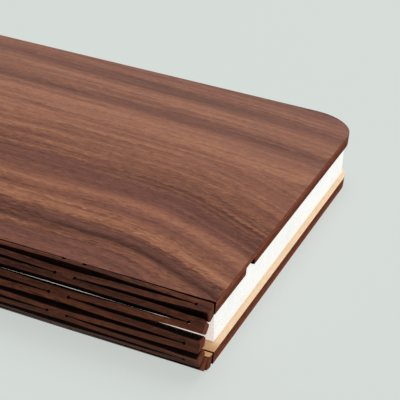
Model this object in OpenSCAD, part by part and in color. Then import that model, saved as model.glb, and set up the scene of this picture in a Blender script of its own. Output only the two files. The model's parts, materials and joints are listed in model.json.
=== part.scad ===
// Folding book lamp, closed, lying on its back cover.
// X runs along the spine (+X is the tail end), +Y points to the fore edge, +Z is up.
// The origin is the centre of the closed book's footprint, on the surface it lies on.

/* [Book] */
// Length along the spine, head to tail
book_length = 215; // [190:1:260]
// Width of each cover, from the cut that joins it to the spine to its fore edge
cover_width = 161.2; // [150:0.2:210]
// Thickness when closed
book_thickness = 24.5; // [23:0.1:30]
// Radius of the covers' two fore-edge corners
corner_radius = 18.6; // [6:0.2:30]
// Angle that the middle of the closed spine leans over, which leaves the back cover a little ahead
spine_lean = 13.3; // [0:0.1:13.5]

/* [Covers] */
// Thickness of the walnut board on the outside of each cover
outer_board_t = 1.8; // [1.2:0.1:2.6]
// Thickness of the pale board on the inside of each cover
inner_board_t = 2.6; // [2.6:0.1:3.2]
// Wood left below the pockets in the inner boards
pocket_floor = 0.5; // [0.3:0.1:0.5]

/* [Spine hinge] */
// Width of the saw cuts between the strips, at half the board's thickness
kerf = 0.8; // [0.8:0.01:0.95]
// Play between the two halves of a bridge
bridge_play = 0.08; // [0.06:0.01:0.12]
// Length of the bridges at the head and tail, in every second row
end_bridge = 5.2; // [3:0.1:12]
// Length of the bridges elsewhere
inner_bridge = 6.5; // [3:0.1:12]
// Distance from the ends to the bridges of the rows that run out at the ends
bridge_inset = 46.8; // [30:0.1:60]

/* [Leaves] */
// Thickness of the paper
paper_t = 0.3; // [0.15:0.05:0.35]
// Air between neighbouring leaves
leaf_gap = 0.3; // [0.2:0.05:0.4]
// Depth of the fold that joins a leaf's two sheets at the fore edge
leaf_fold = 1.2; // [0.6:0.1:3]
// Distance of the leaves from the covers' head and tail edges
leaf_end_inset = 2.15; // [1:0.05:6]
// Distance of the leaves from the covers' fore edge
leaf_fore_inset = 2.2; // [1:0.1:6]
// Distance of the folded leaves from the first cut of the spine
leaf_spine_inset = 5.4; // [5:0.1:14]
// Distance of the two glued leaves from the first cut of the spine
end_leaf_inset = 8.3; // [8:0.1:14]
// Radius of the leaves' two fore-edge corners
leaf_radius = 12; // [5:0.5:25]

/* [Battery] */
// Length of the flat cell
battery_l = 90; // [50:1:100]
// Width of the flat cell
battery_w = 60; // [40:1:80]
// Thickness of the flat cell
battery_t = 1.7; // [1.2:0.05:1.8]
// Thickness of the adhesive pad that holds the cell
battery_pad_t = 0.2; // [0.1:0.05:0.2]
// Play round the cell in its pocket
battery_play = 0.5; // [0.2:0.1:2]
// Free length of the leads from the cell to the control board
battery_lead_run = 17; // [10:1:30]
// Distance of the leads from the cell's edge nearest the spine
battery_lead_inset = 7; // [4:0.5:12]
// Distance of the pad's edges from the cell's edges
pad_inset = 6; // [1:0.5:10]

/* [Charging socket] */
// Distance of the socket's centre from the first cut of the spine
port_at = 31.4; // [26:0.1:45]
// Width of the slot in the tail edge
port_w = 7.9; // [7.8:0.1:9]
// Distance of the socket's mouth from the tail edge
port_recess = 1.9; // [1:0.1:2.5]
// Width of the socket's metal shell
socket_w = 7.5; // [7.2:0.1:7.6]
// Height of the socket's metal shell
socket_h = 2.4; // [2.2:0.05:2.5]
// Length of the socket's metal shell
socket_l = 5.6; // [5:0.1:7]
// Sheet thickness of the shell
shell_t = 0.3; // [0.2:0.05:0.4]
// Distance of the tongue's tip from the socket's mouth
tongue_setback = 0.8; // [0.4:0.1:1.2]
// Thickness of the contact tongue
tongue_t = 0.6; // [0.4:0.05:0.7]
// Width of the contact tongue
tongue_w = 3.8; // [3:0.1:4.4]

/* [Control board] */
// Length of the board, along the spine
circuit_l = 38; // [34:1:50]
// Width of the board
circuit_w = 24; // [20:1:30]
// Thickness of the board, which is also the diameter of its leads
circuit_t = 0.8; // [0.6:0.1:0.9]
// Height of the components
component_h = 1.1; // [0.8:0.05:1.1]
// Play round the board in its pocket
circuit_play = 0.4; // [0.2:0.1:1]
// Distance of the battery's leads from the socket's centre line
battery_lead_offset = 5; // [0:0.5:8]
// Distance between the two leads of a pair
lead_spacing = 2; // [1.2:0.1:3]
// Play round a pair of leads in its groove
lead_play = 0.2; // [0.1:0.05:0.2]
// Distance of the cover switch from the board's inner end
switch_end_inset = 8; // [4:0.5:10]
// Distance of the cover switch from the socket's centre line
switch_offset = 7; // [6:0.1:8]
// Length and width of the cover switch
switch_size = 3; // [2:0.1:3.4]

/* [Light] */
// Width of the groove that the lights lie in
light_groove_w = 6; // [5.4:0.1:6]
// Depth of that groove
light_groove_depth = 1.3; // [1.2:0.05:1.3]
// Distance of the groove from the first cut of the spine
light_inset = 1.5; // [1:0.1:2]
// Distance of the lights' strip from the head and tail edges
light_end_inset = 12; // [8:0.5:14]
// Width of the flexible strip
light_strip_w = 5; // [4:0.1:5.2]
// Thickness of the flexible strip
light_strip_t = 0.25; // [0.15:0.05:0.3]
// Distance of the lights' leads from the charging socket
light_lead_inset = 9; // [6:0.5:20]
// Distance between the light chips
chip_pitch = 14; // [8:0.5:30]
// Length of a light chip
chip_l = 3.5; // [2:0.1:5]
// Width of a light chip
chip_w = 2.8; // [2:0.1:3.5]
// Height of a light chip
chip_t = 0.8; // [0.5:0.05:0.85]

/* [Magnets] */
// Diameter of the magnets that hold the covers
magnet_d = 8; // [5:0.5:12]
// Thickness of all magnets
magnet_t = 1.9; // [1:0.1:2]
// Distance of the holding magnets from the head and tail edges
magnet_end_inset = 30; // [24:1:50]
// Distance of the holding magnets from the fore edge
magnet_fore_inset = 12; // [9:0.5:20]
// Diameter of the magnet that trips the cover switch
trigger_magnet_d = 6; // [4:0.5:8]
// Play round a magnet in its pocket
magnet_play = 0.1; // [0.05:0.05:0.3]

/* [Hidden] */
$fn = 96;

walnut = [0.42, 0.27, 0.21];
dark_walnut = [0.34, 0.21, 0.15];
maple = [0.86, 0.70, 0.50];
paper = [0.97, 0.96, 0.94];
steel = [0.78, 0.78, 0.80];
cut_over = 1;      // how far a cut runs past the face it opens

// The spine: twelve strips, hinged at thirteen rows of cuts, each a chord of a leaning half round.
// Strip 1 is next to the front cover. A strip's angle is its turn from the front cover.
strip_count = 12;
function strip_angle(j) = let (even = 180 * (j - 0.5) / strip_count) even + spine_lean * sin(even);
function total(list, i = 0) = i == len(list) ? 0 : list[i] + total(list, i + 1);

board_t = outer_board_t + inner_board_t;
strip_pitch = (book_thickness - board_t) / total([for (j = [1 : strip_count]) sin(strip_angle(j))]);
strip_w = strip_pitch - kerf;

// The line that row r turns about, as [y, z] with y from the front cover's row, and a strip's centre
function row_line(r) = r == 0 ? [0, book_thickness - board_t / 2]
    : row_line(r - 1) - strip_pitch * [cos(strip_angle(r)), sin(strip_angle(r))];
function strip_centre(j) = (row_line(j - 1) + row_line(j)) / 2;
// How far a strip's outermost edge lies out from the front cover's row
function strip_reach(j) = let (a = strip_angle(j))
    board_t / 2 * sin(a) + strip_w / 2 * abs(cos(a)) - strip_centre(j)[0];

mid_z = book_thickness / 2;
cover_offset = row_line(strip_count)[0];
spine_reach = max([for (j = [1 : strip_count]) strip_reach(j)]);
hinge_y = spine_reach - (spine_reach + cover_width + cover_offset) / 2;
back_hinge_y = hinge_y + cover_offset;
fore_y = hinge_y + cover_width;
tail_x = book_length / 2;
even_row_bridges = [for (s = [-1, 1]) s * (tail_x - bridge_inset)];
bridge_root = 0.1;      // how far a bridge's ridge runs into its piece
bridge_setback = 0.05;  // how far the ridge stops short of the board's faces
bridge_h = board_t - 2 * bridge_setback;

// The covers
inner_face_z = book_thickness - board_t;       // inner face of the front cover
glue_z = book_thickness - outer_board_t;       // where the front cover's two boards meet
pocket_depth = inner_board_t - pocket_floor;

// The leaves
leaf_pitch = (book_thickness - 2 * board_t - 2 * paper_t) / strip_count;
leaf_t = leaf_pitch - leaf_gap;
leaf_l = book_length - 2 * leaf_end_inset;
leaf_y1 = fore_y - leaf_fore_inset;

// The charging socket and the control board, in line behind it
port_y = hinge_y + port_at;
socket_x1 = tail_x - port_recess;
socket_x0 = socket_x1 - socket_l;
circuit_x0 = socket_x0 - circuit_l;
circuit_y0 = port_y - circuit_w / 2;
lead_d = circuit_t;
lead_z = glue_z - lead_d / 2;
lead_groove_w = lead_spacing + lead_d + 2 * lead_play;
lead_groove_depth = lead_d + lead_play;
component_z = glue_z - circuit_t - component_h;
switch_x = circuit_x0 + switch_end_inset;
switch_y = port_y - switch_offset;

// The battery, in line behind the control board
battery_lead_y = port_y + battery_lead_offset;
battery_x1 = circuit_x0 - battery_lead_run;
battery_x0 = battery_x1 - battery_l;
battery_y0 = battery_lead_y - battery_lead_inset;
battery_z = glue_z - battery_pad_t - battery_t;

// The lights
light_y = hinge_y + light_inset + light_groove_w / 2;
light_l = book_length - 2 * light_end_inset;
light_strip_z = inner_face_z + light_groove_depth - light_strip_t;
light_end_play = 1;     // between the strip's ends and the groove's
chip_margin = 3;        // least distance of the end chips from the strip's ends
chip_count = floor((light_l - chip_l - 2 * chip_margin) / chip_pitch) + 1;
light_lead_x = socket_x0 - light_lead_inset;

function leaf_z(j) = mid_z + ((strip_count + 1) / 2 - j) * leaf_pitch;
function leaf_shift(j) = cover_offset * (j - 0.5) / strip_count;

// A board lying on z = 0 whose two fore-edge corners are round
module plate(length, y0, y1, radius, thickness) {
    linear_extrude(thickness) {
        translate([-length / 2, y0]) square([length, y1 - radius - y0]);
        translate([radius - length / 2, y0]) square([length - 2 * radius, y1 - y0]);
        for (s = [-1, 1])
            translate([s * (length / 2 - radius), y1 - radius]) circle(radius);
    }
}

// A box given by its lowest corner and its size
module block(corner, size) {
    translate(corner) cube(size);
}

// Places a strip's section, drawn about its own centre, at strip j
module at_strip(j) {
    translate([0, hinge_y + strip_centre(j)[0], strip_centre(j)[1]])
        rotate([strip_angle(j), 0, 0])
            children();
}

// Half of a bridge: a ridge on a sawn side, whose tip almost meets the other half's
// on the line that the two pieces turn about. The side lies half a kerf from that line.
module half_bridge(x, length) {
    translate([x - length / 2, 0, 0])
        rotate([90, 0, 90])
            linear_extrude(length)
                polygon([[kerf / 2, -bridge_h / 2], [bridge_play / 2, 0], [kerf / 2, bridge_h / 2],
                         [kerf / 2 + bridge_root, bridge_h / 2],
                         [kerf / 2 + bridge_root, -bridge_h / 2]]);
}

// All half bridges of one row of cuts, on the +Y side of the row's line
module bridge_row(row) {
    if (row % 2 == 0) {
        for (x = even_row_bridges) half_bridge(x, inner_bridge);
    } else {
        half_bridge(0, inner_bridge);
        for (s = [-1, 1]) half_bridge(s * (tail_x - end_bridge / 2), end_bridge);
    }
}

// One bar of the spine, with its half bridges on both sides
module spine_strip(j) {
    color(dark_walnut)
        at_strip(j) {
            block([-tail_x, -strip_w / 2, -board_t / 2], [book_length, strip_w, board_t]);
            translate([0, -strip_pitch / 2, 0]) bridge_row(j);
            translate([0, strip_pitch / 2, 0]) mirror([0, 1, 0]) bridge_row(j - 1);
        }
}

// One folded leaf: two sheets, joined at the fore edge and open towards the spine
module folded_leaf(j) {
    color(paper)
        translate([0, leaf_shift(j), leaf_z(j) - leaf_t / 2])
            difference() {
                plate(leaf_l, hinge_y + leaf_spine_inset, leaf_y1, leaf_radius, leaf_t);
                translate([0, 0, paper_t])
                    plate(leaf_l + 2 * cut_over, hinge_y + leaf_spine_inset - cut_over,
                          leaf_y1 - leaf_fold, leaf_radius - leaf_fold + cut_over,
                          leaf_t - 2 * paper_t);
            }
}

// A leaf glued flat to the inside of a cover whose row of cuts lies at row_y
module end_leaf(row_y, z) {
    color(paper)
        translate([0, row_y, z])
            plate(leaf_l, end_leaf_inset, cover_width - leaf_fore_inset, leaf_radius, paper_t);
}

// A board of a cover between two heights, with the half bridges of its row of cuts at row_y, row_z
module cover_board(row_y, row_z, z0, z1) {
    translate([0, row_y, z0])
        plate(book_length, kerf / 2, cover_width, corner_radius, z1 - z0);
    intersection() {
        translate([0, row_y, row_z]) bridge_row(0);
        block([-tail_x, row_y, z0], [book_length, kerf, z1 - z0]);
    }
}

// The two holding magnets near a cover's fore edge, or the pockets for them
module magnet_pair(row_y, z, diameter, height) {
    for (s = [-1, 1])
        translate([s * (tail_x - magnet_end_inset), row_y + cover_width - magnet_fore_inset, z])
            cylinder(d = diameter, h = height);
}

module trigger_disc(z, diameter, height) {
    translate([switch_x, switch_y, z]) cylinder(d = diameter, h = height);
}

module back_outer_board() {
    color(walnut) cover_board(back_hinge_y, board_t / 2, 0, outer_board_t);
}

module back_inner_board() {
    color(maple)
        difference() {
            cover_board(back_hinge_y, board_t / 2, outer_board_t, board_t);
            magnet_pair(back_hinge_y, outer_board_t - cut_over, magnet_d + 2 * magnet_play,
                        pocket_depth + cut_over);
            trigger_disc(outer_board_t - cut_over, trigger_magnet_d + 2 * magnet_play,
                         pocket_depth + cut_over);
        }
}

module back_magnets() {
    color(steel) magnet_pair(back_hinge_y, outer_board_t, magnet_d, magnet_t);
}

module trigger_magnet() {
    color(steel) trigger_disc(outer_board_t, trigger_magnet_d, magnet_t);
}

module back_end_leaf() {
    end_leaf(back_hinge_y, board_t);
}

module front_outer_board() {
    color(walnut) cover_board(hinge_y, book_thickness - board_t / 2, glue_z, book_thickness);
}

// Everything cut into the front cover's inner board
module front_cuts() {
    pocket_z = inner_face_z + pocket_floor;
    over = pocket_depth + cut_over;
    // slot for the charging socket, through the board and out at the tail edge
    block([socket_x0, port_y - port_w / 2, inner_face_z - cut_over],
          [tail_x - socket_x0 + cut_over, port_w, inner_board_t + 2 * cut_over]);
    block([circuit_x0 - circuit_play, circuit_y0 - circuit_play, pocket_z],
          [circuit_l + 2 * circuit_play, circuit_w + 2 * circuit_play, over]);
    block([battery_x0 - battery_play, battery_y0 - battery_play, pocket_z],
          [battery_l + 2 * battery_play, battery_w + 2 * battery_play, over]);
    // groove for the battery's leads
    block([battery_x1, battery_lead_y - lead_groove_w / 2, glue_z - lead_groove_depth],
          [battery_lead_run, lead_groove_w, lead_groove_depth + cut_over]);
    // groove for the lights' leads, and their hole through to the lights
    block([light_lead_x - lead_groove_w / 2, light_y - lead_groove_w / 2, glue_z - lead_groove_depth],
          [lead_groove_w, circuit_y0 - light_y + lead_groove_w / 2, lead_groove_depth + cut_over]);
    block([light_lead_x - lead_groove_w / 2, light_y - lead_groove_w / 2, inner_face_z],
          [lead_groove_w, lead_groove_w, inner_board_t]);
    // groove for the lights, open towards the leaves
    block([-light_l / 2 - light_end_play, light_y - light_groove_w / 2, inner_face_z - cut_over],
          [light_l + 2 * light_end_play, light_groove_w, light_groove_depth + cut_over]);
    magnet_pair(hinge_y, pocket_z, magnet_d + 2 * magnet_play, over);
}

module front_inner_board() {
    color(maple)
        difference() {
            cover_board(hinge_y, book_thickness - board_t / 2, inner_face_z, glue_z);
            front_cuts();
        }
}

module front_magnets() {
    color(steel) magnet_pair(hinge_y, glue_z - magnet_t, magnet_d, magnet_t);
}

module front_end_leaf() {
    end_leaf(hinge_y, inner_face_z - paper_t);
}

module battery() {
    color([0.70, 0.72, 0.74]) block([battery_x0, battery_y0, battery_z], [battery_l, battery_w, battery_t]);
}

module battery_pad() {
    color([0.15, 0.15, 0.16])
        block([battery_x0 + pad_inset, battery_y0 + pad_inset, glue_z - battery_pad_t],
              [battery_l - 2 * pad_inset, battery_w - 2 * pad_inset, battery_pad_t]);
}

module battery_leads() {
    color([0.7, 0.1, 0.1])
        for (s = [-1, 1])
            translate([battery_x1, battery_lead_y + s * lead_spacing / 2, lead_z])
                rotate([0, 90, 0]) cylinder(d = lead_d, h = battery_lead_run);
}

module control_board() {
    color([0.10, 0.35, 0.18])
        block([circuit_x0, circuit_y0, glue_z - circuit_t], [circuit_l, circuit_w, circuit_t]);
}

// Under the board, each as [x, y, length, width] from the board's corner
module control_components() {
    charger_chip = [27, 9, 4, 4];
    driver_chip = [20, 9, 3, 3];
    coil = [13, 14, 5, 5];
    capacitors = [[27, 17, 3, 1.6], [20, 17, 3, 1.6]];
    color([0.12, 0.12, 0.13])
        for (c = concat([charger_chip, driver_chip, coil], capacitors))
            block([circuit_x0 + c[0], circuit_y0 + c[1], component_z], [c[2], c[3], component_h]);
}

// Magnetic switch that turns the lamp on when the back cover swings away
module cover_switch() {
    color([0.08, 0.08, 0.08])
        block([switch_x - switch_size / 2, switch_y - switch_size / 2, component_z],
              [switch_size, switch_size, component_h]);
}

module charging_socket() {
    color(steel)
        difference() {
            block([socket_x0, port_y - socket_w / 2, glue_z - socket_h], [socket_l, socket_w, socket_h]);
            block([socket_x0 + shell_t, port_y - socket_w / 2 + shell_t, glue_z - socket_h + shell_t],
                  [socket_l + cut_over, socket_w - 2 * shell_t, socket_h - 2 * shell_t]);
        }
}

module socket_tongue() {
    tongue_l = socket_l - shell_t - tongue_setback;
    color([0.1, 0.1, 0.1])
        block([socket_x0 + shell_t, port_y - tongue_w / 2, glue_z - socket_h / 2 - tongue_t / 2],
              [tongue_l, tongue_w, tongue_t]);
}

module light_strip() {
    color([0.93, 0.92, 0.88])
        block([-light_l / 2, light_y - light_strip_w / 2, light_strip_z],
              [light_l, light_strip_w, light_strip_t]);
}

module light_chips() {
    color([0.98, 0.88, 0.50])
        for (i = [0 : chip_count - 1])
            translate([(i - (chip_count - 1) / 2) * chip_pitch, light_y, light_strip_z - chip_t / 2])
                cube([chip_l, chip_w, chip_t], center = true);
}

// Two leads: along the groove from the board, then down through the hole to the strip
module light_leads() {
    color([0.85, 0.85, 0.82])
        for (s = [-1, 1])
            translate([light_lead_x + s * lead_spacing / 2, light_y, lead_z]) {
                rotate([-90, 0, 0]) cylinder(d = lead_d, h = circuit_y0 - light_y);
                sphere(d = lead_d);
                translate([0, 0, light_strip_z + light_strip_t - lead_z])
                    cylinder(d = lead_d, h = lead_z - light_strip_z - light_strip_t);
            }
}

back_outer_board();
back_inner_board();
back_magnets();
trigger_magnet();
back_end_leaf();
front_outer_board();
front_inner_board();
front_magnets();
front_end_leaf();
battery();
battery_pad();
battery_leads();
control_board();
control_components();
cover_switch();
charging_socket();
socket_tongue();
light_strip();
light_chips();
light_leads();
spine_strip(1);  // strip_01
spine_strip(2);  // strip_02
spine_strip(3);  // strip_03
spine_strip(4);  // strip_04
spine_strip(5);  // strip_05
spine_strip(6);  // strip_06
spine_strip(7);  // strip_07
spine_strip(8);  // strip_08
spine_strip(9);  // strip_09
spine_strip(10);  // strip_10
spine_strip(11);  // strip_11
spine_strip(12);  // strip_12
folded_leaf(1);  // leaf_01
folded_leaf(2);  // leaf_02
folded_leaf(3);  // leaf_03
folded_leaf(4);  // leaf_04
folded_leaf(5);  // leaf_05
folded_leaf(6);  // leaf_06
folded_leaf(7);  // leaf_07
folded_leaf(8);  // leaf_08
folded_leaf(9);  // leaf_09
folded_leaf(10);  // leaf_10
folded_leaf(11);  // leaf_11
folded_leaf(12);  // leaf_12
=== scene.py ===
"""Looks of the folding book lamp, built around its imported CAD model.

Everything is in metres, in the CAD model's frame: X along the spine with the tail at +X, +Y to the
fore edge, +Z up. MM turns a size in millimetres into metres.
"""

import json
import math
from collections import namedtuple

import bmesh
import bpy
from mathutils import Matrix, Vector


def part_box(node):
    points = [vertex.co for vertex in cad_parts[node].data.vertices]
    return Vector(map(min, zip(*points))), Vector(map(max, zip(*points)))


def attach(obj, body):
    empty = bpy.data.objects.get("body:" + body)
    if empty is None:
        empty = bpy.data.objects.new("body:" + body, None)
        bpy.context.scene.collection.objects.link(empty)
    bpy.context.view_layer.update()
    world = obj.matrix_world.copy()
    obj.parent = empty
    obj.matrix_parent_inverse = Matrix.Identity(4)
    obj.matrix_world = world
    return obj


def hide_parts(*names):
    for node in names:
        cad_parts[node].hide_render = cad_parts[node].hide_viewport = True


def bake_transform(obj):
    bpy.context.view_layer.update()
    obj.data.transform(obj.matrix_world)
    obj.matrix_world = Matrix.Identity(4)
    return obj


MM = 0.001

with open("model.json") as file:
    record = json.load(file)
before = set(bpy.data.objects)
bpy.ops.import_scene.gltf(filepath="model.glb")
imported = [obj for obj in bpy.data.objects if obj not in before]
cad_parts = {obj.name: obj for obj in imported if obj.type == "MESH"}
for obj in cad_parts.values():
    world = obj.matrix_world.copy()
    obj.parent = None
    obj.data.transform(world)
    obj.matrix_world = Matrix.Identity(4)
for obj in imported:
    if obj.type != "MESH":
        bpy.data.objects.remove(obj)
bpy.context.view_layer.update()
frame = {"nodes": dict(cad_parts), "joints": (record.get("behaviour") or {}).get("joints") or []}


# ---------------------------------------------------------------- places from the CAD model

def row_line(row):
    """The line that one row of cuts turns about at rest, as (y, z)."""
    joint = next(j for j in frame["joints"] if j["name"] == f"spine_row_{row:02d}")
    return Vector(joint["pos_m"][1:])


STRIPS = 12
ROWS = [row_line(r) for r in range(STRIPS + 1)]
BOARD_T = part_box("back_inner_board")[1].z   # thickness of a cover and of the spine
BOOK_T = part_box("front_outer_board")[1].z   # thickness of the closed book
TAIL_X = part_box("front_outer_board")[1].x   # the tail end, and the head end is at -TAIL_X
PITCH = (ROWS[1] - ROWS[0]).length          # between rows of cuts
COVER_R = 18.6 * MM                         # radius of the covers' fore-edge corners


# ---------------------------------------------------------------- camera

# Fitted to the straight edges in the photo. It is placed from the front cover's tail and spine corner.
CAMERA_FROM_CORNER = Vector((98.55, -304.43, 195.5)) * MM
CAMERA_RIGHT = Vector((0.922296, 0.374755, 0.094494))
CAMERA_UP = Vector((-0.248774, 0.388538, 0.887215))
CAMERA_LENS = 112.85
CAMERA_SENSOR_W = 36.0


def make_camera():
    data = bpy.data.cameras.new("camera")
    data.lens = CAMERA_LENS
    data.sensor_width = CAMERA_SENSOR_W
    camera = bpy.data.objects.new("camera", data)
    back = CAMERA_RIGHT.cross(CAMERA_UP)
    turn = Matrix((CAMERA_RIGHT, CAMERA_UP, back)).transposed()
    corner = Vector((TAIL_X, ROWS[0].x, BOOK_T))
    camera.matrix_world = Matrix.Translation(corner + CAMERA_FROM_CORNER) @ turn.to_4x4()
    bpy.context.scene.collection.objects.link(camera)
    bpy.context.scene.camera = camera


make_camera()


# ---------------------------------------------------------------- shader helper

def srgb(red, green, blue):
    """A colour given as 0 to 255 screen values, as Blender's linear colour."""
    def linear(v):
        v /= 255
        return v / 12.92 if v <= 0.04045 else ((v + 0.055) / 1.055) ** 2.4
    return (linear(red), linear(green), linear(blue), 1.0)


class Shader:
    """A material with a Principled shader, and short names for the nodes that feed it."""

    def __init__(self, name):
        self.material = bpy.data.materials.new(name)
        self.material.use_nodes = True
        self.tree = self.material.node_tree
        self.tree.nodes.clear()
        self.output = self.add("ShaderNodeOutputMaterial")
        self.bsdf = self.add("ShaderNodeBsdfPrincipled")
        self.link(self.bsdf.outputs["BSDF"], self.output.inputs["Surface"])

    def add(self, kind, **settings):
        node = self.tree.nodes.new(kind)
        for key, value in settings.items():
            setattr(node, key, value)
        return node

    def link(self, output, socket):
        self.tree.links.new(output, socket)

    def feed(self, socket, value):
        """Links value to socket if it is another node's output, and sets it otherwise."""
        if isinstance(value, bpy.types.NodeSocket):
            self.link(value, socket)
        else:
            socket.default_value = value

    def place(self, attribute=None):
        """Rest position in metres: the object's own, or the named attribute on a piece."""
        if attribute:
            return self.add("ShaderNodeAttribute", attribute_name=attribute).outputs["Vector"]
        return self.add("ShaderNodeTexCoord").outputs["Object"]

    def normal(self):
        return self.add("ShaderNodeTexCoord").outputs["Normal"]

    def stretch(self, place, scale):
        node = self.add("ShaderNodeMapping")
        self.link(place, node.inputs["Vector"])
        node.inputs["Scale"].default_value = scale
        return node.outputs["Vector"]

    def noise(self, place, scale, detail=2.0, roughness=0.5):
        """Noise from 0 to 1, with scale as cycles per metre along X, Y and Z."""
        node = self.add("ShaderNodeTexNoise")
        self.link(self.stretch(place, scale), node.inputs["Vector"])
        node.inputs["Scale"].default_value = 1.0
        node.inputs["Detail"].default_value = detail
        node.inputs["Roughness"].default_value = roughness
        return node.outputs["Fac"]

    def math(self, operation, a, b=0.0, clamp=False):
        node = self.add("ShaderNodeMath", operation=operation, use_clamp=clamp)
        self.feed(node.inputs[0], a)
        self.feed(node.inputs[1], b)
        return node.outputs["Value"]

    def total(self, *terms):
        result = terms[0]
        for term in terms[1:]:
            result = self.math("ADD", result, term)
        return result

    def swing(self, value, width):
        """A value from 0 to 1 as a swing about zero, with the given full width."""
        return self.math("MULTIPLY", self.math("SUBTRACT", value, 0.5), width)

    def axis(self, vector, name):
        node = self.add("ShaderNodeSeparateXYZ")
        self.link(vector, node.inputs["Vector"])
        return node.outputs[name]

    def vector(self, x, y, z):
        node = self.add("ShaderNodeCombineXYZ")
        for name, value in zip("XYZ", (x, y, z)):
            self.link(value, node.inputs[name])
        return node.outputs["Vector"]

    def between(self, value, low, high):
        """0 below low, 1 above high and smooth between them."""
        node = self.add("ShaderNodeMapRange", interpolation_type="SMOOTHSTEP")
        self.feed(node.inputs["Value"], value)
        node.inputs["From Min"].default_value = low
        node.inputs["From Max"].default_value = high
        return node.outputs["Result"]

    def ramp(self, value, stops):
        node = self.add("ShaderNodeValToRGB")
        self.link(value, node.inputs["Fac"])
        points = node.color_ramp.elements
        while len(points) < len(stops):
            points.new(1.0)
        for point, (position, colour) in zip(points, stops):
            point.position = position
            point.color = colour
        return node.outputs["Color"]

    def two_tones(self, value, dark, light):
        return self.ramp(value, [(0.3, dark), (0.7, light)])

    def mix(self, amount, a, b):
        node = self.add("ShaderNodeMix", data_type="RGBA")
        self.feed(node.inputs["Factor"], amount)
        self.feed(node.inputs[6], a)
        self.feed(node.inputs[7], b)
        return node.outputs[2]

    def tint(self, colour, where, share, other):
        """The colour, with a share of the other one mixed in as far as where goes from 0 to 1."""
        return self.mix(self.math("MULTIPLY", where, share), colour, other)

    def pick(self, switch, a, b):
        """The number a where switch is 0, and b where it is 1."""
        return self.axis(self.mix(switch, a, b), "X")

    def bump(self, height, distance, strength):
        node = self.add("ShaderNodeBump")
        self.link(height, node.inputs["Height"])
        node.inputs["Distance"].default_value = distance
        node.inputs["Strength"].default_value = strength
        self.link(node.outputs["Normal"], self.bsdf.inputs["Normal"])

    def set(self, **values):
        """Sets or links the shader's own sockets, named with _ for a space."""
        for name, value in values.items():
            self.feed(self.bsdf.inputs[name.replace("_", " ")], value)


# ---------------------------------------------------------------- materials

WOOD_SHEEN = 0.1         # specular level of all the wood
FACE_ROUGHNESS = 0.55
EDGE_ROUGHNESS = 0.95
MAPLE_STRIP_ROUGHNESS = 0.6
SAWN_ROUGHNESS = 0.75
PAPER_ROUGHNESS = 0.7

CUT_CHAR_AND_SHADE = srgb(16, 8, 6)    # laser char and painted shade on the walls of a narrow cut
SCORCH = srgb(52, 28, 20)
SCORCH_SHARE = 0.45      # how strongly the rims and the pores are scorched
SCORCH_W = 0.3 * MM      # width of the scorched line along a cover's rim
END_FROM = 0.9 * MM      # a strip's end colour begins this far from the book's end
END_FULL = 0.3 * MM      # and is full here

# The covers' walnut is two veneers that meet in a seam along the board. Millimetres below.
SEAM_Y = 14.4            # the seam, from the middle of the book
BEND_X = 72.0            # where the lower veneer's rings turn down towards the spine
BEND_W = 15.0            # half of the stretch that they turn in
BEND_SLOPE = 0.55        # their slope at the tail end
UPPER_TILT = 0.05        # slope of the upper veneer's rings
UPPER_BEND = 0.25        # share of the bend that reaches them
UPPER_AWAY = 400.0       # keeps the two veneers' figures apart
SWAY = 5.0               # width of the band that a ring wanders in
UPPER_SWAY = 0.6         # share of that on the upper veneer
FLECK_JUMP = 3.8         # width of the band that flecks of fibre break a streak's edge up over
PAINTED_REFLECTION_LIMITS = (-40.0, 85.0)   # painted reflection: the wood pales from here to here, towards the fore edge
PAINTED_SHADE_REACH = 8.0       # how far the painted shade reaches into the maple from the spine's cuts
# The main dark and light streaks, read off the photo and rounded, as (place across the rings, tone from
# 0 dark to 1 light)
LOWER_STREAKS = [(-95, 0.2), (-61, 0.4), (-52, 0.1), (-46, 0.9), (-39, 0.4), (-32, 0.9), (-20, 0.1),
                 (0, 0.7), (20, 0.6)]
UPPER_STREAKS = [(14, 0.8), (38, 0.9), (45, 0.3), (60, 0.8), (70, 0.2), (80, 0.7), (90, 0.3)]

# Layers of noise, as cycles per metre along X, Y and Z
SWAY_SCALE = (14.0, 45.0, 45.0)
WIDE_SCALE = (7.0, 150.0, 60.0)
FINE_SCALE = (14.0, 620.0, 60.0)
FLECK_SCALE = (330.0, 1700.0, 300.0)
HAIR_SCALE = (200.0, 2600.0, 300.0)
PORE_SCALE = (380.0, 2600.0, 600.0)
BLUSH_SCALE = (5.0, 90.0, 60.0)
MAPLE_BROAD_SCALE = (6.0, 160.0, 160.0)
MAPLE_FIBRE_SCALE = (70.0, 2200.0, 800.0)
EDGE_SCALE = (300.0, 300.0, 1200.0)
SAWN_SCALE = (300.0, 300.0, 700.0)
PAPER_CLOUD_SCALE = (60.0, 60.0, 60.0)
PAPER_FIBRE_SCALE = (1500.0, 1500.0, 1500.0)

# How far the named streaks and the layers move walnut's tone
STREAK_SHARE = 0.75
STREAKS_OVER_WIDE = 0.6  # how much of the wide layer gives way to the named streaks
FINE_SHARE = 1.35
FLECK_SHARE = 0.6
HAIR_SHARE = 0.6

# Where a layer begins to show and where it shows in full
BLUSH_LIMITS = (0.46, 0.66)
PORE_LIMITS = (0.58, 0.68)

# How much of each shows
BLUSH_SHARE = 0.5
PAINTED_REFLECTION_SHARE = 0.35
MAPLE_BROAD_SHARE = 0.7  # the rest of maple's tone is its fibres
PAINTED_SHADE_ON_BOARD = 0.8       # share of the painted shade colour on the maple of a board
PAINTED_SHADE_ON_STRIP = 0.75      # and of a strip
FRONT_STREAKED = 1.0     # the named streaks on the front cover
BACK_STREAKED = 0.35     # on the back cover
SPINE_STREAKED = 0.3     # and on the spine
SPINE_BEND = 0.15        # the rings' bend on the spine

# Parts of the normal between which a board's edge turns into its face, and into its side at the spine
FACE_LIMITS = (0.4, 0.7)
SPINE_SIDE_LIMITS = (-0.6, -0.9)

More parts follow.
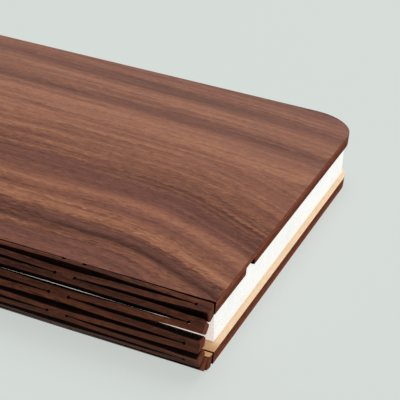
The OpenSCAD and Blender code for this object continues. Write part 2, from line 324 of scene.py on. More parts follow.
# Relief of the surfaces, as (depth, strength)
WALNUT_RELIEF = (0.03 * MM, 0.6)
HAIR_RELIEF = 0.5        # height of walnut's fibres, as a share of the depth of its pores
MAPLE_RELIEF = (0.02 * MM, 0.5)
SAWN_RELIEF = (0.04 * MM, 0.5)
PAPER_RELIEF = (0.01 * MM, 0.5)
PLAIN_RELIEF = 0.4       # strength on the small parts

WALNUT_TONES = [(0.08, srgb(74, 41, 31)), (0.30, srgb(110, 67, 51)), (0.50, srgb(137, 87, 67)),
                (0.70, srgb(160, 105, 78)), (0.92, srgb(182, 125, 94))]
WALNUT_BLUSH = srgb(132, 84, 73)
WALNUT_PAINTED_REFLECTION = srgb(156, 116, 104)    # the painted reflection colour that the wood pales to
# painted shade: walnut's tones and blush, darkened for the spine
SHADED_SPINE_TONES = [(0.05, srgb(44, 21, 12)), (0.35, srgb(77, 40, 25)), (0.55, srgb(98, 53, 34)),
               (0.85, srgb(128, 70, 42))]
SHADED_SPINE_BLUSH = srgb(84, 47, 36)
MAPLE_TONES = [(0.20, srgb(242, 202, 156)), (0.50, srgb(252, 221, 184)), (0.80, srgb(254, 229, 196))]
# painted shade: the orange-tan that the maple darkens to beside the spine
MAPLE_PAINTED_SHADE = srgb(214, 156, 96)
OUTER_EDGE_TONES = [(0.30, srgb(122, 58, 37)), (0.72, srgb(158, 87, 60))]
INNER_EDGE_TONES = [(0.30, srgb(96, 44, 28)), (0.72, srgb(132, 69, 45))]
# laser char and painted shade on the strips' sides, inside the cuts
SIDE_CHAR_AND_SHADE = srgb(44, 23, 16)
# colours of the paper's painted glow
PAPER_PAINTED_GLOW = (srgb(249, 250, 251), srgb(253, 254, 255))


def in_mm(s, value):
    return s.math("MULTIPLY", value, 1 / MM)


def streak_tone(s, across, streaks):
    """The named streaks' tone at a place across the rings."""
    low, high = streaks[0][0], streaks[-1][0]
    stops = [((at - low) / (high - low), (tone, tone, tone, 1)) for at, tone in streaks]
    share = s.math("DIVIDE", s.math("SUBTRACT", across, low), high - low, clamp=True)
    return s.ramp(share, stops)


def ring_place(s, place, bend_share):
    """Across the rings, in mm, for both veneers, and 1 on the upper one."""
    x = in_mm(s, s.axis(place, "X"))
    y = in_mm(s, s.axis(place, "Y"))
    away = s.math("SUBTRACT", x, BEND_X)
    root = s.math("SQRT", s.math("ADD", s.math("MULTIPLY", away, away), BEND_W ** 2))
    bend = s.math("MULTIPLY", s.math("ADD", away, root), BEND_SLOPE / 2 * bend_share)
    sway = s.swing(s.noise(place, SWAY_SCALE), SWAY)
    lower = s.total(y, bend, sway)
    upper = s.total(y, s.math("MULTIPLY", x, UPPER_TILT), s.math("MULTIPLY", bend, UPPER_BEND),
                    s.math("MULTIPLY", sway, UPPER_SWAY))
    return lower, upper, s.math("GREATER_THAN", y, SEAM_Y)


def veneer_grain(s, place, flecks, bend_share):
    """The named streaks' tone, and the place in the grain: along the board, across the rings and up."""
    lower, upper, on_upper = ring_place(s, place, bend_share)
    jump = s.swing(flecks, FLECK_JUMP)
    lower = s.total(lower, jump)
    upper = s.total(upper, jump)
    tone = s.pick(on_upper, streak_tone(s, lower, LOWER_STREAKS), streak_tone(s, upper, UPPER_STREAKS))
    rings = s.pick(on_upper, lower, s.total(upper, UPPER_AWAY))
    return tone, s.vector(s.axis(place, "X"), s.math("MULTIPLY", rings, MM), s.axis(place, "Z"))


def walnut_figure(s, place, tones, blush, streaked, bend_share=1.0):
    """Walnut's colour and relief. streaked is how much of the named streaks shows, and noise does the
    rest."""
    flecks = s.noise(place, FLECK_SCALE, 2.0, 0.6)
    streaks, grain = veneer_grain(s, place, flecks, bend_share)
    wide = s.noise(grain, WIDE_SCALE, 3.0, 0.55)
    fine = s.noise(grain, FINE_SCALE, 3.0, 0.65)
    hair = s.noise(place, HAIR_SCALE, 3.0, 0.75)
    tone = s.total(
        s.swing(streaks, STREAK_SHARE * streaked), s.swing(wide, 1.0 - STREAKS_OVER_WIDE * streaked),
        s.swing(fine, FINE_SHARE), s.swing(flecks, FLECK_SHARE), s.swing(hair, HAIR_SHARE))
    colour = s.ramp(s.math("ADD", tone, 0.5, clamp=True), tones)
    blushed = s.between(s.noise(grain, BLUSH_SCALE), *BLUSH_LIMITS)
    colour = s.tint(colour, blushed, BLUSH_SHARE, blush)
    pores = s.between(s.noise(place, PORE_SCALE, 1.0), *PORE_LIMITS)
    colour = s.tint(colour, pores, SCORCH_SHARE, SCORCH)
    return colour, s.math("SUBTRACT", s.math("MULTIPLY", hair, HAIR_RELIEF), pores)


def maple_figure(s, place):
    """Maple's colour and relief."""
    broad = s.noise(place, MAPLE_BROAD_SCALE, 3.0, 0.6)
    fibres = s.noise(place, MAPLE_FIBRE_SCALE)
    tone = s.total(s.math("MULTIPLY", broad, MAPLE_BROAD_SHARE),
                   s.math("MULTIPLY", fibres, 1 - MAPLE_BROAD_SHARE))
    return s.ramp(tone, MAPLE_TONES), fibres


def rim_distance(s, place, board):
    """Distance in metres from a point of a board's face to the board's round-cornered outline."""
    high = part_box(board)[1]
    x = s.math("SUBTRACT", s.math("ABSOLUTE", s.axis(place, "X")), high.x - COVER_R)
    y = s.math("SUBTRACT", s.axis(place, "Y"), high.y - COVER_R)
    out_x = s.math("MAXIMUM", x, 0.0)
    out_y = s.math("MAXIMUM", y, 0.0)
    reach = s.math("SQRT", s.math("ADD", s.math("MULTIPLY", out_x, out_x), s.math("MULTIPLY", out_y, out_y)))
    inside = s.math("MINIMUM", s.math("MAXIMUM", x, y), 0.0)
    return s.math("SUBTRACT", COVER_R, s.math("ADD", reach, inside))


def cut_edge(s, place, tones):
    """A laser-cut edge, in streaks of two tones."""
    return s.ramp(s.noise(place, EDGE_SCALE, 3.0, 0.6), tones)


def face_share(s):
    """1 on a board's faces and 0 on its cut edges."""
    return s.between(s.math("ABSOLUTE", s.axis(s.normal(), "Z")), *FACE_LIMITS)


def board_roughness(s):
    """Satin faces and matt cut edges."""
    matt = s.math("MULTIPLY", s.math("SUBTRACT", 1.0, face_share(s)), EDGE_ROUGHNESS - FACE_ROUGHNESS)
    return s.math("ADD", matt, FACE_ROUGHNESS)


def edge_colour(s, place, tones):
    """A board's edges: laser char with painted shade beside the first cut of the spine, and brown elsewhere.
    """
    spine_side = s.between(s.axis(s.normal(), "Y"), *SPINE_SIDE_LIMITS)
    return s.mix(spine_side, cut_edge(s, place, tones), CUT_CHAR_AND_SHADE)


def finish_wood(s, colour, roughness, height, relief):
    s.bump(height, *relief)
    s.set(Base_Color=colour, Roughness=roughness, Specular_IOR_Level=WOOD_SHEEN)
    return s.material


def walnut_board(name, board, streaked):
    """A cover's outer board, with figured faces that pale towards the fore edge as a painted reflection, a
    scorched rim and laser-cut edges.
    """
    s = Shader(name)
    place = s.place()
    colour, height = walnut_figure(s, place, WALNUT_TONES, WALNUT_BLUSH, streaked)
    # painted reflection: the walnut pales towards the fore edge
    painted_reflection = s.between(in_mm(s, s.axis(place, "Y")), *PAINTED_REFLECTION_LIMITS)
    colour = s.tint(colour, painted_reflection, PAINTED_REFLECTION_SHARE, WALNUT_PAINTED_REFLECTION)
    rim = s.between(rim_distance(s, place, board), SCORCH_W, SCORCH_W / 2)
    colour = s.tint(colour, rim, SCORCH_SHARE, SCORCH)
    colour = s.mix(face_share(s), edge_colour(s, place, OUTER_EDGE_TONES), colour)
    return finish_wood(s, colour, board_roughness(s), height, WALNUT_RELIEF)


def maple_board():
    """A cover's inner board, with painted shade beside the spine's cuts."""
    s = Shader("maple_board")
    place = s.place()
    colour, height = maple_figure(s, place)
    last_row = ROWS[STRIPS].x / MM
    # painted shade: the maple darkens to orange-tan within reach of the spine
    painted_shade = s.between(in_mm(s, s.axis(place, "Y")), last_row + PAINTED_SHADE_REACH, last_row)
    colour = s.tint(colour, painted_shade, PAINTED_SHADE_ON_BOARD, MAPLE_PAINTED_SHADE)
    colour = s.mix(face_share(s), edge_colour(s, place, INNER_EDGE_TONES), colour)
    return finish_wood(s, colour, board_roughness(s), height, MAPLE_RELIEF)


def walnut_strip():
    """The outer face of the spine's strips, whose figure runs on from the cover's, in walnut's tones
    darkened as painted shade.
    """
    s = Shader("walnut_strip")
    place = s.place("grain")
    colour, height = walnut_figure(s, place, SHADED_SPINE_TONES, SHADED_SPINE_BLUSH, SPINE_STREAKED, SPINE_BEND)
    return finish_wood(s, colour, FACE_ROUGHNESS, height, WALNUT_RELIEF)


def maple_strip():
    """Their inner face, mostly given the painted shade colour."""
    s = Shader("maple_strip")
    colour, height = maple_figure(s, s.place("grain"))
    # painted shade over most of the strips' inner face
    colour = s.mix(PAINTED_SHADE_ON_STRIP, colour, MAPLE_PAINTED_SHADE)
    return finish_wood(s, colour, MAPLE_STRIP_ROUGHNESS, height, MAPLE_RELIEF)


def sawn_strip():
    """The sides and ends of the strips: laser char with painted shade on the sides inside the cuts, and
    brown at the ends.
    """
    s = Shader("sawn_strip")
    place = s.place("grain")
    wall_streaks = s.noise(place, SAWN_SCALE, 3.0, 0.6)
    from_middle = s.math("ABSOLUTE", s.axis(place, "X"))
    on_end = s.between(from_middle, TAIL_X - END_FROM, TAIL_X - END_FULL)
    # laser char with painted shade on the sides, which face each other across narrow cuts
    sides = s.two_tones(wall_streaks, CUT_CHAR_AND_SHADE, SIDE_CHAR_AND_SHADE)
    colour = s.mix(on_end, sides, cut_edge(s, place, INNER_EDGE_TONES))
    return finish_wood(s, colour, SAWN_ROUGHNESS, wall_streaks, SAWN_RELIEF)


def paper_material(name, dark, light, painted_glow_strength):
    """Coated paper with a little painted glow, and a faint cloud of fibres."""
    s = Shader(name)
    place = s.place()
    cloud = s.noise(place, PAPER_CLOUD_SCALE, 4.0, 0.6)
    s.bump(s.noise(place, PAPER_FIBRE_SCALE), *PAPER_RELIEF)
    s.set(Base_Color=s.two_tones(cloud, dark, light), Roughness=PAPER_ROUGHNESS,
          Emission_Color=s.two_tones(cloud, *PAPER_PAINTED_GLOW), Emission_Strength=painted_glow_strength)
    return s.material


def plain_material(name, light, dark, roughness, metallic=0.0, grain=400.0, depth=0.01 * MM, glow=None):
    """A small part's finish: two near tones, a roughness and a fine texture. glow is (colour, strength)."""
    s = Shader(name)
    speck = s.noise(s.place(), (grain, grain, grain), 3.0, 0.6)
    s.bump(speck, depth, PLAIN_RELIEF)
    s.set(Base_Color=s.two_tones(speck, dark, light), Metallic=metallic, Roughness=roughness)
    if glow:
        s.set(Emission_Color=glow[0], Emission_Strength=glow[1])
    return s.material


FRONT_WALNUT = walnut_board("front_walnut", "front_outer_board", FRONT_STREAKED)
BACK_WALNUT = walnut_board("back_walnut", "back_outer_board", BACK_STREAKED)
MAPLE = maple_board()
STRIP_FACE = walnut_strip()
STRIP_BACK = maple_strip()
CUT = sawn_strip()
# The paper's glow is painted light. The leaves' edges are a brighter copy, with a paler colour and twice the
# glow, as painted light.
PAPER = paper_material("paper", srgb(228, 226, 221), srgb(236, 234, 230), painted_glow_strength=0.20)
PAPER_EDGE = paper_material("painted_glow_paper_edge", srgb(236, 235, 232), srgb(246, 246, 244),
                            painted_glow_strength=0.42)
NICKEL = plain_material("nickel", srgb(205, 205, 208), srgb(180, 180, 184), 0.28, metallic=1.0, grain=900.0)
FOIL = plain_material("cell_foil", srgb(196, 198, 202), srgb(178, 180, 186), 0.38, metallic=1.0, grain=250.0,
                      depth=0.03 * MM)
FOAM = plain_material("foam_pad", srgb(42, 42, 44), srgb(26, 26, 28), 0.9, grain=1200.0, depth=0.05 * MM)
RED_LEAD = plain_material("red_lead", srgb(186, 34, 28), srgb(160, 24, 20), 0.4)
WHITE_LEAD = plain_material("white_lead", srgb(236, 235, 230), srgb(222, 221, 216), 0.4)
SOLDER_MASK = plain_material("solder_mask", srgb(22, 96, 54), srgb(14, 72, 40), 0.35, grain=700.0)
MOULDED = plain_material("moulded_black", srgb(38, 38, 40), srgb(24, 24, 26), 0.5, grain=1500.0)
SHELL = plain_material("socket_shell", srgb(200, 201, 204), srgb(176, 177, 181), 0.3, metallic=1.0,
                       grain=800.0)
TAPE = plain_material("light_tape", srgb(240, 239, 233), srgb(226, 224, 216), 0.5)
CHIP = plain_material("light_chip", srgb(252, 232, 160), srgb(246, 214, 120), 0.3,
                      glow=(srgb(255, 236, 200), 1.2))

FINISHES = {
    "front_outer_board": FRONT_WALNUT, "back_outer_board": BACK_WALNUT,
    "front_inner_board": MAPLE, "back_inner_board": MAPLE,
    "front_end_leaf": PAPER, "back_end_leaf": PAPER,
    "front_magnets": NICKEL, "back_magnets": NICKEL, "trigger_magnet": NICKEL,
    "battery": FOIL, "battery_pad": FOAM, "battery_leads": RED_LEAD,
    "control_board": SOLDER_MASK, "control_components": MOULDED, "cover_switch": MOULDED,
    "charging_socket": SHELL, "socket_tongue": MOULDED,
    "light_strip": TAPE, "light_chips": CHIP, "light_leads": WHITE_LEAD,
}


def finish_node(name, material):
    node = frame["nodes"][name]
    if not node.material_slots:
        node.data.materials.append(material)
    for material_slot in node.material_slots:
        material_slot.material = material


for node_name, finish in FINISHES.items():
    finish_node(node_name, finish)


# ---------------------------------------------------------------- meshes

def join_rings(bm, a, b, material_indices):
    """The four faces between two rings of four points."""
    for k, index in enumerate(material_indices):
        face = bm.faces.new((a[k], a[(k + 1) % 4], b[(k + 1) % 4], b[k]))
        face.material_index = index


def mesh_from(name, bm, materials, smooth_angle=None):
    """An object with bm's faces, which are flat unless smooth_angle is given."""
    bmesh.ops.recalc_face_normals(bm, faces=bm.faces)
    data = bpy.data.meshes.new(name)
    bm.to_mesh(data)
    bm.free()
    for material in materials:
        data.materials.append(material)
    if smooth_angle is not None:
        data.polygons.foreach_set("use_smooth", [True] * len(data.polygons))
        data.set_sharp_from_angle(angle=smooth_angle)
    obj = bpy.data.objects.new(name, data)
    bpy.context.scene.collection.objects.link(obj)
    return obj


# ---------------------------------------------------------------- the spine

# A strip twists between its bridges. In odd rows the bridges are at the ends and the middle, in even
# rows nearly a quarter of the length from each end. Beside a bridge a strip lies flat with its partner
# across it.
SLIT = 0.35 * MM             # width of a cut beside its bridge
SLIT_END_R = 0.55 * MM       # radius of the round hole that a cut ends in, on the outer face
SLIT_END_INNER_R = 0.18 * MM  # and on the inner face
COVER_END_R = 0.75 * MM      # radius of the half holes that a cover's cuts end in
STRIP_OUT = 1.955 * MM       # width of a strip's outer face
TAPER = 0.32 * MM            # how much narrower its inner face is, on the side away from its partner
END_CORNER_R = 0.7 * MM      # radius of the strips' corners at the head and the tail
TAPER_FROM = 0.6 * STRIP_OUT  # the inner face is narrower beyond this part of a flat strip's width
COVER_CUT = 0.4 * MM         # distance of a cover's edge from its row's line
END_BRIDGE = 4.5 * MM        # length of the bridges at the head and the tail
MID_BRIDGE = 5.7 * MM        # and of the others
EVEN_X = TAIL_X - 47.3 * MM  # middle of the even rows' bridges
BLOCK_MARGIN = 2.1 * MM      # how far the flat stretch runs past the end of a cut
STATIONS = 9                 # rings along each twisting stretch
HOLE_STEPS = 12              # sides of the holes' arcs
CORNER_STEPS = 5             # and of the corners' arcs

# How far the closed spine's flat stretches sit off the CAD model's chain: a least squares fit to the ends
# and openings of the cuts in the photo, partly changed. By a pair's first strip: shift in Y and Z
# in millimetres, and turn in degrees. SPRUNG_TURN is the turn of a strip that is half-way between two
# flat stretches.
SPRUNG_PAIR = {
    1: (0.20, 0.35, -0.7), 2: (0.07, 0.31, 0.0), 3: (0.36, 0.42, -4.3), 4: (0.28, 0.52, -1.0),
    5: (0.20, 0.50, -2.6), 6: (0.09, 0.44, -3.0), 7: (0.0, 0.25, -2.0), 8: (0.0, 0.15, -1.0)}
SPRUNG_TURN = {3: -4.0, 4: 2.0}

Zone = namedtuple("Zone", "x0 x1 bridge0 bridge1 odd_row")  # a flat stretch and its bridge, along X

OUT, CUT_SIDE, IN = 0, 1, 2  # material indices of a strip's faces
STRIP_MATERIALS = [STRIP_FACE, CUT, STRIP_BACK]


def angle_of(direction):
    """Turn of a strip from the front cover, from its direction towards the back cover."""
    return math.atan2(-direction.y, -direction.x)


def along(angle):
    """The direction across a strip of this angle towards the back cover, as (y, z)."""
    return Vector((-math.cos(angle), -math.sin(angle)))


def outward(angle):
    """The direction out of its outer face."""
    return Vector((-math.sin(angle), math.cos(angle)))


STRIP_ANGLE = {j: angle_of(ROWS[j] - ROWS[j - 1]) for j in range(1, STRIPS + 1)}
STRIP_CENTRE = {j: (ROWS[j] + ROWS[j - 1]) / 2 for j in range(1, STRIPS + 1)}
COVER_ANGLE = {1: 0.0, STRIPS: math.pi}
COVER_BODY = {1: "front_cover", STRIPS: "back_cover"}


def partner(j, odd_row):
    """The strip across the bridge from strip j, in odd or even rows, or None for a cover."""
    other = j + 1 if (j % 2 == 1) == odd_row else j - 1
    return other if 1 <= other <= STRIPS else None


def pair_place(first):
    """Angle and middle of the flat stretch that strips first and first + 1 share."""
    shift_y, shift_z, turn = SPRUNG_PAIR.get(first, (0.0, 0.0, 0.0))
    angle = (STRIP_ANGLE[first] + STRIP_ANGLE[first + 1]) / 2 + math.radians(turn)
    middle = (STRIP_CENTRE[first] + STRIP_CENTRE[first + 1]) / 2
    return angle, middle + Vector((shift_y, shift_z)) * MM


def flat_section(j, odd_row):
    """Angle, centre and side of the partner (+1 towards the back cover) where strip j lies flat."""
    other = partner(j, odd_row)
    reach = (SLIT + STRIP_OUT) / 2
    if other is None:
        angle = COVER_ANGLE[j]
        side = -1 if j == 1 else 1
        row = ROWS[0] if j == 1 else ROWS[STRIPS]
        return angle, row - side * along(angle) * (SLIT - COVER_CUT + STRIP_OUT / 2), side
    side = 1 if other > j else -1
    angle, middle = pair_place(min(j, other))
    return angle, middle - side * along(angle) * reach, side


def neutral_section(j):
    """Angle and centre of strip j half-way between two flat stretches."""
    (angle_a, centre_a, _), (angle_b, centre_b, _) = flat_section(j, True), flat_section(j, False)
    turn = math.radians(SPRUNG_TURN.get(j, 0.0))
    return (angle_a + angle_b) / 2 + turn, (centre_a + centre_b) / 2


def smooth_weight(t):
    return t * t * (3 - 2 * t)


def section(j, odd_row, share):
    """Corners of strip j's section, share of the way from its neutral place (0) to where it lies flat
    (1), and the same corners across and out of the strip."""
    neutral_angle, neutral_centre = neutral_section(j)
    angle, centre, side = flat_section(j, odd_row)
    angle = neutral_angle + (angle - neutral_angle) * share
    centre = neutral_centre.lerp(centre, share)
    lean = side * share
    half = STRIP_OUT / 2
    corners = [
        (-half, BOARD_T / 2), (half, BOARD_T / 2),
        (half - TAPER * (1 - lean) / 2, -BOARD_T / 2), (-half + TAPER * (1 + lean) / 2, -BOARD_T / 2)]
    return [centre + along(angle) * s + outward(angle) * n for s, n in corners], corners


def grain_layer(bm):
    return bm.verts.layers.float_vector.new("grain")


def unrolled_y(j, s):
    """Where a point of strip j would lie if the spine were flat, so that its figure follows the cover's."""
    return ROWS[0].x - (j - 0.5) * PITCH - s


def twisting_stretch(j, odd_row, x_neutral, x_flat, name):
    """Strip j from its neutral place to a bridge, twisting along its length."""
    other = partner(j, odd_row)
    full = other is None
    bm = bmesh.new()
    grain = grain_layer(bm)
    rings = []
    for i in range(STATIONS):
        t = i / (STATIONS - 1)
        x = x_neutral + (x_flat - x_neutral) * t
        share = smooth_weight(t) if full else 2 * smooth_weight(t / 2)
        points, corners = section(j, odd_row, share)
        ring = []
        for point, (s, n) in zip(points, corners):
            vert = bm.verts.new((x, point.x, point.y))
            vert[grain] = (x, unrolled_y(j, s), n)
            ring.append(vert)
        rings.append(ring)
    for a, b in zip(rings, rings[1:]):
        join_rings(bm, a, b, [OUT, CUT_SIDE, IN, CUT_SIDE])
    for ring in (rings[0], rings[-1]):
        bm.faces.new(ring).material_index = CUT_SIDE
    obj = mesh_from(name, bm, STRIP_MATERIALS)
    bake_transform(obj)
    return obj


def arc(x, s, radius, start, end, steps=HOLE_STEPS):
    """Points about (x, s), from one angle to another in degrees."""
    turns = [math.radians(start + (end - start) * i / steps) for i in range(steps + 1)]
    return [(x + radius * math.cos(a), s + radius * math.sin(a)) for a in turns]


def corner_arc(x, s, start):
    return arc(x, s, END_CORNER_R, start, start + 90, CORNER_STEPS)


def pair_outline(zone, hole_r):
    """One face of two strips joined by a bridge, as (x, s). A side of the bridge without a cut
    (bridge0 equal to x0, or bridge1 to x1) is the book's end, and has round corners."""
    x0, x1, bridge0, bridge1, _ = zone
    half = SLIT / 2 + STRIP_OUT
    mouth = math.degrees(math.asin(SLIT / 2 / hole_r))
    points = []
    if bridge1 < x1:
        points += [(x1, -half), (x1, -SLIT / 2)]
        points += arc(bridge1 + SLIT_END_R, 0, hole_r, -mouth, -360 + mouth)
        points += [(x1, SLIT / 2), (x1, half)]
    else:
        points += corner_arc(x1 - END_CORNER_R, -half + END_CORNER_R, -90)
        points += corner_arc(x1 - END_CORNER_R, half - END_CORNER_R, 0)
    if bridge0 > x0:
        points += [(x0, half), (x0, SLIT / 2)]
        points += arc(bridge0 - SLIT_END_R, 0, hole_r, 180 - mouth, -180 + mouth)
        points += [(x0, -SLIT / 2), (x0, -half)]
    else:
        points += corner_arc(x0 + END_CORNER_R, half - END_CORNER_R, 90)
        points += corner_arc(x0 + END_CORNER_R, -half + END_CORNER_R, 180)
    return points


def cover_outline(zone):
    """One face of a strip that is joined to its cover, as (x, s) with s = 0 at the strip's near edge."""
    x0, x1, bridge0, bridge1, _ = zone
    points = [(x0, -STRIP_OUT), (x1, -STRIP_OUT), (x1, 0)]
    points += arc(bridge1 + COVER_END_R, 0, COVER_END_R, 0, -180)
    points += [(bridge1, SLIT), (bridge0, SLIT)]
    points += arc(bridge0 - COVER_END_R, 0, COVER_END_R, 0, -180)
    points += [(x0, 0)]
    return points


def block_mesh(name, outer_outline, inner_outline, place, taper_beyond):
    """A flat stretch between the outlines of its outer and inner faces, which have as many points as
    each other. place(x, s, n) gives a point and its place in the unrolled figure. The inner face is
    narrower where s is beyond taper_beyond."""
    bm = bmesh.new()
    grain = grain_layer(bm)
    faces = []
    for n, outline in ((BOARD_T / 2, outer_outline), (-BOARD_T / 2, inner_outline)):
        verts = []
        for x, s in outline:
            taper = TAPER if n < 0 and abs(s) > taper_beyond else 0.0
            point, unrolled = place(x, s - math.copysign(taper, s), n)
            vert = bm.verts.new(point)
            vert[grain] = unrolled
            verts.append(vert)
        faces.append(verts)
    outer = bm.faces.new(faces[0])
    outer.material_index = OUT
    inner = bm.faces.new(reversed(faces[1]))
    inner.material_index = IN
    count = len(outer_outline)
    for k in range(count):
        side = bm.faces.new((faces[0][k], faces[1][k], faces[1][(k + 1) % count], faces[0][(k + 1) % count]))
        side.material_index = CUT_SIDE
    bm.normal_update()
    bmesh.ops.triangulate(bm, faces=[outer, inner])
    return mesh_from(name, bm, STRIP_MATERIALS)


def pair_block(first, zone, name):
    """Strips first and first + 1 and the bridge between them, at an angle between theirs."""
    angle, middle = pair_place(first)
    tangent, normal = along(angle), outward(angle)

    def place(x, s, n):
        point = middle + tangent * s + normal * n
        return (x, point.x, point.y), (x, unrolled_y(first + 0.5, s), n)

    outlines = [pair_outline(zone, hole_r) for hole_r in (SLIT_END_R, SLIT_END_INNER_R)]
    obj = block_mesh(name, *outlines, place, SLIT / 2 + TAPER_FROM)
    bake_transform(obj)
    return obj


def cover_block(j, zone, name):
    """Strip 1 or 12 and the bridge that joins it to its cover."""
    angle = COVER_ANGLE[j]
    towards_cover = -along(angle) if j == 1 else along(angle)
    row = ROWS[0] if j == 1 else ROWS[STRIPS]
    edge = row + towards_cover * (COVER_CUT - SLIT)
    normal = outward(angle)

    def place(x, s, n):
        point = edge + towards_cover * s + normal * n
        return (x, point.x, point.y), (x, unrolled_y(j, -s - STRIP_OUT / 2), n)

    outline = cover_outline(zone)
    obj = block_mesh(name, outline, outline, place, TAPER_FROM)
    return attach(obj, COVER_BODY[j])


def flat_zones():
    """The flat stretches along the spine, from head to tail."""
    end_cut = TAIL_X - END_BRIDGE
    half = MID_BRIDGE / 2
    found = [Zone(-TAIL_X, -end_cut + BLOCK_MARGIN, -TAIL_X, -end_cut, True)]
    for x, odd_row in ((-EVEN_X, False), (0.0, True), (EVEN_X, False)):
        found.append(Zone(x - half - BLOCK_MARGIN, x + half + BLOCK_MARGIN, x - half, x + half, odd_row))
    found.append(Zone(end_cut - BLOCK_MARGIN, TAIL_X, end_cut, TAIL_X, True))
    return found


def build_spine():
    """All pieces of the spine. Each is listed under one strip that it shows."""
    shown = {j: [] for j in range(1, STRIPS + 1)}
    zones = flat_zones()
    for z, zone in enumerate(zones):
        for j in shown:
            other = partner(j, zone.odd_row)
            if other is None:
                shown[j].append(cover_block(j, zone, f"strip_{j:02d}_block_{z}"))
            elif other > j:
                shown[j].append(pair_block(j, zone, f"strips_{j:02d}_{other:02d}_block_{z}"))
    for z, (left, right) in enumerate(zip(zones, zones[1:])):
        neutral = (left.x1 + right.x0) / 2
        for j in shown:
            name = f"strip_{j:02d}_twist_{z}"
            shown[j].append(twisting_stretch(j, left.odd_row, neutral, left.x1, name + "a"))
            shown[j].append(twisting_stretch(j, right.odd_row, neutral, right.x0, name + "b"))
    for j, pieces in shown.items():
        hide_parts(f"strip_{j:02d}")


build_spine()


# ---------------------------------------------------------------- the leaves

SHEET_T = 0.5 * MM       # thickness of a sheet, with its coating
SHEET_CLEAR = 0.05 * MM  # half of the gap between neighbouring leaves at rest
LEAF_R = 12.0 * MM       # radius of a leaf's fore-edge corners
SPREAD_L = 40.0 * MM     # length from a sheet's inner edge over which its first rings are spread
SPREAD_RINGS = 14
CORNER_RINGS = 12
FOLD_RINGS = 6
SMOOTH_ANGLE = math.radians(40)
LEAF_PITCH = (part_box("leaf_01")[1].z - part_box("leaf_12")[1].z) / (STRIPS - 1)
LEAF_T = LEAF_PITCH - 2 * SHEET_CLEAR
SHEET_FACE, SHEET_EDGE = 0, 1  # material indices of a sheet's faces


def leaf_rings(y0, y1, half_l):
    """Stations along a leaf from its inner edge, as (y, half of its length there)."""
    rings = [(y0 + SPREAD_L * i / SPREAD_RINGS, half_l) for i in range(SPREAD_RINGS + 1)]
    for i in range(CORNER_RINGS + 1):
        a = math.pi / 2 * i / CORNER_RINGS
        rings.append((y1 - LEAF_R + LEAF_R * math.sin(a), half_l - LEAF_R + LEAF_R * math.cos(a)))
    return rings


def sheet_mesh(name, rings, z_low, z_high, fold_to=None):
    """A thin sheet between two heights. fold_to is the height that its fore-edge fold turns down to."""
    bm = bmesh.new()
    rows = []
    for y, half_l in rings:
        rows.append([bm.verts.new((x, y, z)) for x, z in
                     ((-half_l, z_low), (half_l, z_low), (half_l, z_high), (-half_l, z_high))])
    for a, b in zip(rows, rows[1:]):
        join_rings(bm, a, b, [SHEET_FACE, SHEET_EDGE, SHEET_FACE, SHEET_EDGE])
    bm.faces.new(rows[0]).material_index = SHEET_EDGE
    if fold_to is None:
        bm.faces.new(rows[-1]).material_index = SHEET_EDGE
    else:
        add_fold(bm, rows[-1], z_low, z_high, fold_to)
    return mesh_from(name, bm, [PAPER, PAPER_EDGE], SMOOTH_ANGLE)


def add_fold(bm, last, z_low, z_high, fold_to):
    """The round fold at the fore edge, from the upper sheet down to the lower one."""
    y = last[0].co.y
    half_l = last[1].co.x
    middle = (z_high + fold_to) / 2
    outer_r = (z_high - fold_to) / 2
    inner_r = outer_r - (z_high - z_low)
    ring = last
    for i in range(1, FOLD_RINGS + 1):
        a = math.pi / 2 - math.pi * i / FOLD_RINGS
        reach = [(inner_r, 0), (inner_r, 1), (outer_r, 1), (outer_r, 0)]
        new = [bm.verts.new((half_l * (2 * tail - 1), y + r * math.cos(a), middle + r * math.sin(a)))
               for r, tail in reach]
        join_rings(bm, ring, new, [SHEET_EDGE] * 4)
        ring = new
    bm.faces.new(ring).material_index = SHEET_EDGE


def build_leaf(j):
    """Leaf j: two sheets, joined at the fore edge."""
    low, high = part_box(f"leaf_{j:02d}")
    middle = (low.z + high.z) / 2
    rings = leaf_rings(low.y, high.y - LEAF_T / 2, high.x)
    top, bottom = middle + LEAF_T / 2, middle - LEAF_T / 2
    upper = sheet_mesh(f"leaf_{j:02d}_upper_sheet", rings, top - SHEET_T, top, bottom)
    lower = sheet_mesh(f"leaf_{j:02d}_lower_sheet", rings, bottom, bottom + SHEET_T)
    for piece, other in ((upper, j - 1), (lower, j + 1)):
        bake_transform(piece)
    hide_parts(f"leaf_{j:02d}")


for leaf in range(1, STRIPS + 1):
    build_leaf(leaf)


# ---------------------------------------------------------------- floor and light

BACKGROUND = srgb(214, 220, 216)
FLOOR_TONES = (srgb(229, 235, 231), srgb(231, 237, 233))
FLOOR_MOTTLE_SCALE = (3.0, 3.0, 3.0)
FLOOR_ROUGHNESS = 0.9
FLOOR_DROP = 0.1 * MM        # how far the floor lies under the lamp
FLOOR_HALF = 12.0
SHADOW_SHARE = 0.22          # how much of the floor's colour comes from the lamps
AMBIENT = 0.62               # strength of the light from all sides
SOFTBOX_SIZE = 1.4
SOFTBOX_AT = Vector((0.25, 0.35, 1.3))
SOFTBOX_POWER = 9.0          # in watts


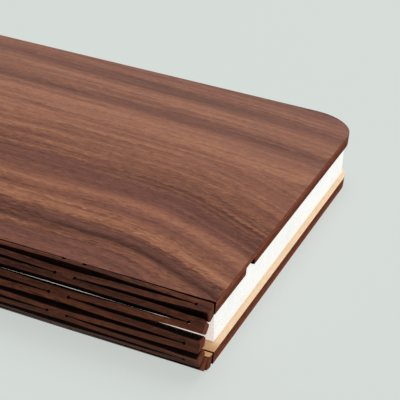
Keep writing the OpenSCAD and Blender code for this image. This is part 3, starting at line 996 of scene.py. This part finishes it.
def pale_to_camera(s, colour, other):
    """Mixes in the plain background colour for what the camera and mirrors see."""
    path = s.add("ShaderNodeLightPath")
    seen = s.math("MAXIMUM", path.outputs["Is Camera Ray"], path.outputs["Is Glossy Ray"])
    seen = s.math("MAXIMUM", seen, path.outputs["Is Transmission Ray"])
    pale = s.add("ShaderNodeEmission")
    pale.inputs["Color"].default_value = colour
    mix = s.add("ShaderNodeMixShader")
    s.link(s.math("MULTIPLY", seen, 1 - SHADOW_SHARE), mix.inputs[0])
    s.link(other, mix.inputs[1])
    s.link(pale.outputs["Emission"], mix.inputs[2])
    s.link(mix.outputs["Shader"], s.output.inputs["Surface"])


def build_floor():
    bm = bmesh.new()
    corners = [(-1, -1), (1, -1), (1, 1), (-1, 1)]
    bm.faces.new([bm.verts.new((x * FLOOR_HALF, y * FLOOR_HALF, 0)) for x, y in corners])
    s = Shader("pale_floor")
    mottle = s.noise(s.place(), FLOOR_MOTTLE_SCALE)
    s.set(Base_Color=s.two_tones(mottle, *FLOOR_TONES), Roughness=FLOOR_ROUGHNESS)
    pale_to_camera(s, BACKGROUND, s.bsdf.outputs["BSDF"])
    floor = mesh_from("floor", bm, [s.material])
    floor.location.z = -FLOOR_DROP


def build_world():
    world = bpy.data.worlds.new("studio")
    bpy.context.scene.world = world
    world.use_nodes = True
    tree = world.node_tree
    tree.nodes.clear()
    path = tree.nodes.new("ShaderNodeLightPath")
    ambient = tree.nodes.new("ShaderNodeBackground")
    ambient.inputs["Strength"].default_value = AMBIENT
    pale = tree.nodes.new("ShaderNodeBackground")
    pale.inputs["Color"].default_value = BACKGROUND
    mix = tree.nodes.new("ShaderNodeMixShader")
    output = tree.nodes.new("ShaderNodeOutputWorld")
    tree.links.new(path.outputs["Is Camera Ray"], mix.inputs[0])
    tree.links.new(ambient.outputs[0], mix.inputs[1])
    tree.links.new(pale.outputs[0], mix.inputs[2])
    tree.links.new(mix.outputs[0], output.inputs["Surface"])


def build_softbox():
    data = bpy.data.lights.new("softbox", "AREA")
    data.size = SOFTBOX_SIZE
    data.energy = SOFTBOX_POWER
    light = bpy.data.objects.new("softbox", data)
    light.location = SOFTBOX_AT
    light.rotation_euler = (-SOFTBOX_AT).to_track_quat("-Z", "Y").to_euler()
    bpy.context.scene.collection.objects.link(light)


build_floor()
build_world()
build_softbox()
bpy.context.scene.view_settings.view_transform = "Standard"
